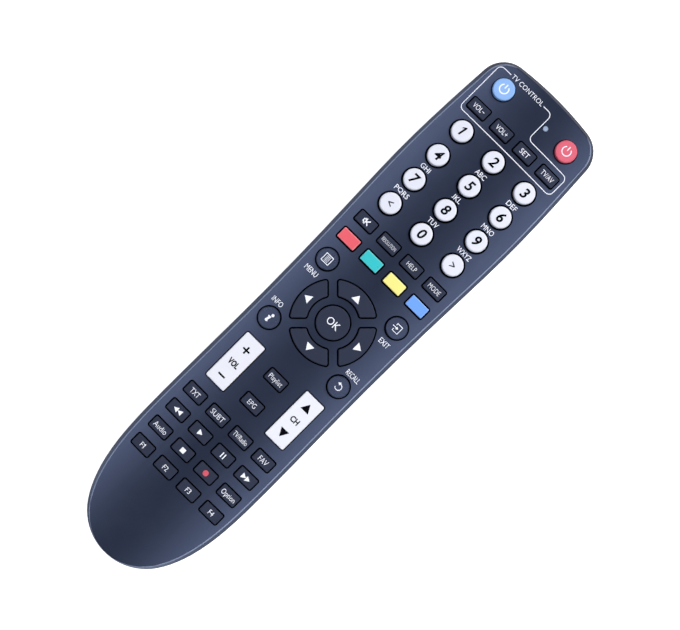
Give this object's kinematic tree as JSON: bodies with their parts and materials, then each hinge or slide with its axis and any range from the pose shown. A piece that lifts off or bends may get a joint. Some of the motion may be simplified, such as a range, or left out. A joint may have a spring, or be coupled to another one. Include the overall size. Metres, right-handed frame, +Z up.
{
  "type": "remote control",
  "caption": "Hand-held infrared remote control for a satellite receiver, with sprung keys, two tilting rocker keys, an arrow ring and a sliding battery cover.",
  "frame": {"origin": "centre of the resting face, under the middle of the case", "axes": "+Z up through the keys, +Y along the remote to the infrared window, +X to the right of the keys"},
  "size_m": [0.05, 0.208, 0.0221],
  "materials": {
    "upper_case_plastic": "dark slate blue, satin",
    "lower_case_plastic": "near-black slate, fine grain",
    "board_laminate": "green solder mask",
    "component_epoxy": "black moulding epoxy",
    "sheet_rubber": "translucent grey, matt",
    "window_plastic": "almost black, polished",
    "lamp_epoxy": "pale blue, polished",
    "light_pipe_plastic": "pale blue-grey, polished",
    "cell_jacket": "green and silver jacket",
    "contact_metal": "nickel plate",
    "dark_key_plastic": "dark slate, satin",
    "white_key_plastic": "cool white, satin",
    "pale_blue_key": "light blue, satin",
    "power_red_key": "red, satin",
    "colour_red_key": "red, satin",
    "colour_green_key": "green-blue, satin",
    "colour_yellow_key": "yellow, satin",
    "colour_blue_key": "blue, satin"
  },
  "bodies": {
    "case": {"top_case": "upper_case_plastic", "bottom_case": "lower_case_plastic", "circuit_board": "board_laminate", "board_components": "component_epoxy", "keypad_membrane": "sheet_rubber", "ir_window": "window_plastic", "ir_emitter": "lamp_epoxy", "indicator_light_pipe": "light_pipe_plastic", "batteries": "cell_jacket", "battery_contacts": "contact_metal"},
    "audio_key": {"audio_key": "dark_key_plastic"},
    "blue_key": {"blue_key": "colour_blue_key"},
    "channel_rocker": {"channel_rocker": "white_key_plastic"},
    "down_key": {"down_key": "dark_key_plastic"},
    "exit_key": {"exit_key": "dark_key_plastic"},
    "fast_forward_key": {"fast_forward_key": "dark_key_plastic"},
    "favourites_key": {"favourites_key": "dark_key_plastic"},
    "function_keys": {"function_keys": "dark_key_plastic"},
    "green_key": {"green_key": "colour_green_key"},
    "guide_key": {"guide_key": "dark_key_plastic"},
    "help_key": {"help_key": "dark_key_plastic"},
    "info_key": {"info_key": "dark_key_plastic"},
    "key_0": {"key_0": "white_key_plastic"},
    "key_1": {"key_1": "white_key_plastic"},
    "key_2": {"key_2": "white_key_plastic"},
    "key_3": {"key_3": "white_key_plastic"},
    "key_4": {"key_4": "white_key_plastic"},
    "key_5": {"key_5": "white_key_plastic"},
    "key_6": {"key_6": "white_key_plastic"},
    "key_7": {"key_7": "white_key_plastic"},
    "key_8": {"key_8": "white_key_plastic"},
    "key_9": {"key_9": "white_key_plastic"},
    "left_key": {"left_key": "dark_key_plastic"},
    "main_power_key": {"main_power_key": "power_red_key"},
    "menu_key": {"menu_key": "dark_key_plastic"},
    "mode_key": {"mode_key": "dark_key_plastic"},
    "mute_key": {"mute_key": "dark_key_plastic"},
    "next_key": {"next_key": "white_key_plastic"},
    "options_key": {"options_key": "dark_key_plastic"},
    "pause_key": {"pause_key": "dark_key_plastic"},
    "play_key": {"play_key": "dark_key_plastic"},
    "playlist_key": {"playlist_key": "dark_key_plastic"},
    "previous_key": {"previous_key": "white_key_plastic"},
    "recall_key": {"recall_key": "dark_key_plastic"},
    "record_key": {"record_key": "dark_key_plastic"},
    "red_key": {"red_key": "colour_red_key"},
    "resolution_key": {"resolution_key": "dark_key_plastic"},
    "rewind_key": {"rewind_key": "dark_key_plastic"},
    "right_key": {"right_key": "dark_key_plastic"},
    "select_key": {"select_key": "dark_key_plastic"},
    "stop_key": {"stop_key": "dark_key_plastic"},
    "subtitle_key": {"subtitle_key": "dark_key_plastic"},
    "teletext_key": {"teletext_key": "dark_key_plastic"},
    "tv_power_key": {"tv_power_key": "pale_blue_key"},
    "tv_radio_key": {"tv_radio_key": "dark_key_plastic"},
    "tv_setup_keys": {"tv_setup_keys": "dark_key_plastic"},
    "up_key": {"up_key": "dark_key_plastic"},
    "volume_rocker": {"volume_rocker": "white_key_plastic"},
    "yellow_key": {"yellow_key": "colour_yellow_key"},
    "battery_cover": {"battery_cover": "lower_case_plastic"}
  },
  "joints": [
    {"name": "audio_key_press", "type": "slide", "parent": "case", "child": "audio_key", "axis": [0, 0, -1], "range_m": [0, 0.00075], "stiffness_N_per_m": 800},
    {"name": "blue_key_press", "type": "slide", "parent": "case", "child": "blue_key", "axis": [0, 0, -1], "range_m": [0, 0.00075], "stiffness_N_per_m": 800},
    {"name": "channel_rocker_tilt", "type": "hinge", "parent": "case", "child": "channel_rocker", "pos_m": [0.01342, -0.02967, 0.017], "axis": [1, 0, 0], "range_deg": [-3, 3], "stiffness_Nm_per_rad": 0.08},
    {"name": "down_key_press", "type": "slide", "parent": "case", "child": "down_key", "axis": [0, 0, -1], "range_m": [0, 0.00075], "stiffness_N_per_m": 800},
    {"name": "exit_key_press", "type": "slide", "parent": "case", "child": "exit_key", "axis": [0, 0, -1], "range_m": [0, 0.00075], "stiffness_N_per_m": 800},
    {"name": "fast_forward_key_press", "type": "slide", "parent": "case", "child": "fast_forward_key", "axis": [0, 0, -1], "range_m": [0, 0.00075], "stiffness_N_per_m": 800},
    {"name": "favourites_key_press", "type": "slide", "parent": "case", "child": "favourites_key", "axis": [0, 0, -1], "range_m": [0, 0.00075], "stiffness_N_per_m": 800},
    {"name": "function_keys_press", "type": "slide", "parent": "case", "child": "function_keys", "axis": [0, 0, -1], "range_m": [0, 0.00075], "stiffness_N_per_m": 800},
    {"name": "green_key_press", "type": "slide", "parent": "case", "child": "green_key", "axis": [0, 0, -1], "range_m": [0, 0.00075], "stiffness_N_per_m": 800},
    {"name": "guide_key_press", "type": "slide", "parent": "case", "child": "guide_key", "axis": [0, 0, -1], "range_m": [0, 0.00075], "stiffness_N_per_m": 800},
    {"name": "help_key_press", "type": "slide", "parent": "case", "child": "help_key", "axis": [0, 0, -1], "range_m": [0, 0.00075], "stiffness_N_per_m": 800},
    {"name": "info_key_press", "type": "slide", "parent": "case", "child": "info_key", "axis": [0, 0, -1], "range_m": [0, 0.00075], "stiffness_N_per_m": 800},
    {"name": "key_0_press", "type": "slide", "parent": "case", "child": "key_0", "axis": [0, 0, -1], "range_m": [0, 0.00075], "stiffness_N_per_m": 800},
    {"name": "key_1_press", "type": "slide", "parent": "case", "child": "key_1", "axis": [0, 0, -1], "range_m": [0, 0.00075], "stiffness_N_per_m": 800},
    {"name": "key_2_press", "type": "slide", "parent": "case", "child": "key_2", "axis": [0, 0, -1], "range_m": [0, 0.00075], "stiffness_N_per_m": 800},
    {"name": "key_3_press", "type": "slide", "parent": "case", "child": "key_3", "axis": [0, 0, -1], "range_m": [0, 0.00075], "stiffness_N_per_m": 800},
    {"name": "key_4_press", "type": "slide", "parent": "case", "child": "key_4", "axis": [0, 0, -1], "range_m": [0, 0.00075], "stiffness_N_per_m": 800},
    {"name": "key_5_press", "type": "slide", "parent": "case", "child": "key_5", "axis": [0, 0, -1], "range_m": [0, 0.00075], "stiffness_N_per_m": 800},
    {"name": "key_6_press", "type": "slide", "parent": "case", "child": "key_6", "axis": [0, 0, -1], "range_m": [0, 0.00075], "stiffness_N_per_m": 800},
    {"name": "key_7_press", "type": "slide", "parent": "case", "child": "key_7", "axis": [0, 0, -1], "range_m": [0, 0.00075], "stiffness_N_per_m": 800},
    {"name": "key_8_press", "type": "slide", "parent": "case", "child": "key_8", "axis": [0, 0, -1], "range_m": [0, 0.00075], "stiffness_N_per_m": 800},
    {"name": "key_9_press", "type": "slide", "parent": "case", "child": "key_9", "axis": [0, 0, -1], "range_m": [0, 0.00075], "stiffness_N_per_m": 800},
    {"name": "left_key_press", "type": "slide", "parent": "case", "child": "left_key", "axis": [0, 0, -1], "range_m": [0, 0.00075], "stiffness_N_per_m": 800},
    {"name": "main_power_key_press", "type": "slide", "parent": "case", "child": "main_power_key", "axis": [0, 0, -1], "range_m": [0, 0.00075], "stiffness_N_per_m": 800},
    {"name": "menu_key_press", "type": "slide", "parent": "case", "child": "menu_key", "axis": [0, 0, -1], "range_m": [0, 0.00075], "stiffness_N_per_m": 800},
    {"name": "mode_key_press", "type": "slide", "parent": "case", "child": "mode_key", "axis": [0, 0, -1], "range_m": [0, 0.00075], "stiffness_N_per_m": 800},
    {"name": "mute_key_press", "type": "slide", "parent": "case", "child": "mute_key", "axis": [0, 0, -1], "range_m": [0, 0.00075], "stiffness_N_per_m": 800},
    {"name": "next_key_press", "type": "slide", "parent": "case", "child": "next_key", "axis": [0, 0, -1], "range_m": [0, 0.00075], "stiffness_N_per_m": 800},
    {"name": "options_key_press", "type": "slide", "parent": "case", "child": "options_key", "axis": [0, 0, -1], "range_m": [0, 0.00075], "stiffness_N_per_m": 800},
    {"name": "pause_key_press", "type": "slide", "parent": "case", "child": "pause_key", "axis": [0, 0, -1], "range_m": [0, 0.00075], "stiffness_N_per_m": 800},
    {"name": "play_key_press", "type": "slide", "parent": "case", "child": "play_key", "axis": [0, 0, -1], "range_m": [0, 0.00075], "stiffness_N_per_m": 800},
    {"name": "playlist_key_press", "type": "slide", "parent": "case", "child": "playlist_key", "axis": [0, 0, -1], "range_m": [0, 0.00075], "stiffness_N_per_m": 800},
    {"name": "previous_key_press", "type": "slide", "parent": "case", "child": "previous_key", "axis": [0, 0, -1], "range_m": [0, 0.00075], "stiffness_N_per_m": 800},
    {"name": "recall_key_press", "type": "slide", "parent": "case", "child": "recall_key", "axis": [0, 0, -1], "range_m": [0, 0.00075], "stiffness_N_per_m": 800},
    {"name": "record_key_press", "type": "slide", "parent": "case", "child": "record_key", "axis": [0, 0, -1], "range_m": [0, 0.00075], "stiffness_N_per_m": 800},
    {"name": "red_key_press", "type": "slide", "parent": "case", "child": "red_key", "axis": [0, 0, -1], "range_m": [0, 0.00075], "stiffness_N_per_m": 800},
    {"name": "resolution_key_press", "type": "slide", "parent": "case", "child": "resolution_key", "axis": [0, 0, -1], "range_m": [0, 0.00075], "stiffness_N_per_m": 800},
    {"name": "rewind_key_press", "type": "slide", "parent": "case", "child": "rewind_key", "axis": [0, 0, -1], "range_m": [0, 0.00075], "stiffness_N_per_m": 800},
    {"name": "right_key_press", "type": "slide", "parent": "case", "child": "right_key", "axis": [0, 0, -1], "range_m": [0, 0.00075], "stiffness_N_per_m": 800},
    {"name": "select_key_press", "type": "slide", "parent": "case", "child": "select_key", "axis": [0, 0, -1], "range_m": [0, 0.00075], "stiffness_N_per_m": 800},
    {"name": "stop_key_press", "type": "slide", "parent": "case", "child": "stop_key", "axis": [0, 0, -1], "range_m": [0, 0.00075], "stiffness_N_per_m": 800},
    {"name": "subtitle_key_press", "type": "slide", "parent": "case", "child": "subtitle_key", "axis": [0, 0, -1], "range_m": [0, 0.00075], "stiffness_N_per_m": 800},
    {"name": "teletext_key_press", "type": "slide", "parent": "case", "child": "teletext_key", "axis": [0, 0, -1], "range_m": [0, 0.00075], "stiffness_N_per_m": 800},
    {"name": "tv_power_key_press", "type": "slide", "parent": "case", "child": "tv_power_key", "axis": [0, 0, -1], "range_m": [0, 0.00075], "stiffness_N_per_m": 800},
    {"name": "tv_radio_key_press", "type": "slide", "parent": "case", "child": "tv_radio_key", "axis": [0, 0, -1], "range_m": [0, 0.00075], "stiffness_N_per_m": 800},
    {"name": "tv_setup_keys_press", "type": "slide", "parent": "case", "child": "tv_setup_keys", "axis": [0, 0, -1], "range_m": [0, 0.00075], "stiffness_N_per_m": 800},
    {"name": "up_key_press", "type": "slide", "parent": "case", "child": "up_key", "axis": [0, 0, -1], "range_m": [0, 0.00075], "stiffness_N_per_m": 800},
    {"name": "volume_rocker_tilt", "type": "hinge", "parent": "case", "child": "volume_rocker", "pos_m": [-0.01342, -0.02967, 0.017], "axis": [1, 0, 0], "range_deg": [-3, 3], "stiffness_Nm_per_rad": 0.08},
    {"name": "yellow_key_press", "type": "slide", "parent": "case", "child": "yellow_key", "axis": [0, 0, -1], "range_m": [0, 0.00075], "stiffness_N_per_m": 800},
    {"name": "battery_cover_slide", "type": "slide", "parent": "case", "child": "battery_cover", "axis": [0, -1, 0], "range_m": [0, 0.074]}
  ]
}
